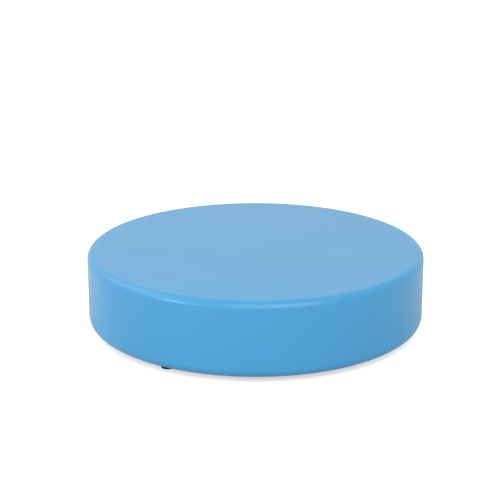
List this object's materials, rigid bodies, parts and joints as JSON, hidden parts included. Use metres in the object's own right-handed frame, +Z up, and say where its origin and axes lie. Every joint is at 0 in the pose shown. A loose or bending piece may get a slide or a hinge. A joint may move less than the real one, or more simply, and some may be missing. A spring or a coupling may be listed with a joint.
{
  "type": "low round floor seat",
  "caption": "Low round floor seat: a puck-shaped foam drum in a seamless sprayed skin, on a plywood base with levelling glides.",
  "frame": {"origin": "on the floor, where the seat's vertical axis meets it", "axes": "+Z up along the seat's axis; +X and +Y point midway between two neighbouring glides"},
  "size_m": [0.914, 0.914, 0.215],
  "materials": {
    "skin_coating": "satin sprayed polyurethane skin",
    "comfort_foam": "open-cell soft foam",
    "upper_foam": "open-cell medium foam",
    "lower_foam": "open-cell firm foam",
    "plywood": "raw birch plywood",
    "nonwoven": "spunbonded non-woven cloth",
    "staple_wire": "galvanised wire",
    "zinc_plated_steel": "bright zinc plate",
    "retainer_steel": "plain rolled steel",
    "black_nylon": "moulded nylon",
    "sole_rubber": "matte rubber"
  },
  "bodies": {
    "seat": {"coated_skin": "skin_coating", "comfort_foam": "comfort_foam", "upper_core": "upper_foam", "lower_core": "lower_foam", "base_board": "plywood", "dust_cover": "nonwoven", "staples": "staple_wire", "tee_nut_1": "zinc_plated_steel", "tee_nut_2": "zinc_plated_steel", "tee_nut_3": "zinc_plated_steel", "tee_nut_4": "zinc_plated_steel"},
    "glide_1_foot": {"glide_pad_1": "black_nylon", "glide_sole_1": "sole_rubber", "stem_retainer_1": "retainer_steel"},
    "glide_1_stem": {"glide_stem_1": "zinc_plated_steel"},
    "glide_2_foot": {"glide_pad_2": "black_nylon", "glide_sole_2": "sole_rubber", "stem_retainer_2": "retainer_steel"},
    "glide_2_stem": {"glide_stem_2": "zinc_plated_steel"},
    "glide_3_foot": {"glide_pad_3": "black_nylon", "glide_sole_3": "sole_rubber", "stem_retainer_3": "retainer_steel"},
    "glide_3_stem": {"glide_stem_3": "zinc_plated_steel"},
    "glide_4_foot": {"glide_pad_4": "black_nylon", "glide_sole_4": "sole_rubber", "stem_retainer_4": "retainer_steel"},
    "glide_4_stem": {"glide_stem_4": "zinc_plated_steel"}
  },
  "joints": [
    {"name": "glide_1_height", "type": "slide", "parent": "seat", "child": "glide_1_foot", "axis": [0, 0, -1], "range_m": [0, 0.01]},
    {"name": "glide_2_height", "type": "slide", "parent": "seat", "child": "glide_2_foot", "axis": [0, 0, -1], "range_m": [0, 0.01]},
    {"name": "glide_3_height", "type": "slide", "parent": "seat", "child": "glide_3_foot", "axis": [0, 0, -1], "range_m": [0, 0.01]},
    {"name": "glide_4_height", "type": "slide", "parent": "seat", "child": "glide_4_foot", "axis": [0, 0, -1], "range_m": [0, 0.01]},
    {"name": "glide_1_turn", "type": "hinge", "parent": "glide_1_foot", "child": "glide_1_stem", "pos_m": [0.28638, 0.28638, 0.012], "axis": [0, 0, -1], "range_deg": [0, 2880]},
    {"name": "glide_2_turn", "type": "hinge", "parent": "glide_2_foot", "child": "glide_2_stem", "pos_m": [-0.28638, 0.28638, 0.012], "axis": [0, 0, -1], "range_deg": [0, 2880]},
    {"name": "glide_3_turn", "type": "hinge", "parent": "glide_3_foot", "child": "glide_3_stem", "pos_m": [-0.28638, -0.28638, 0.012], "axis": [0, 0, -1], "range_deg": [0, 2880]},
    {"name": "glide_4_turn", "type": "hinge", "parent": "glide_4_foot", "child": "glide_4_stem", "pos_m": [0.28638, -0.28638, 0.012], "axis": [0, 0, -1], "range_deg": [0, 2880]}
  ],
  "couplings": [
    {"joint": "glide_1_turn", "follows": "glide_1_height", "rad_per_m": 5026.5},
    {"joint": "glide_2_turn", "follows": "glide_2_height", "rad_per_m": 5026.5},
    {"joint": "glide_3_turn", "follows": "glide_3_height", "rad_per_m": 5026.5},
    {"joint": "glide_4_turn", "follows": "glide_4_height", "rad_per_m": 5026.5}
  ]
}
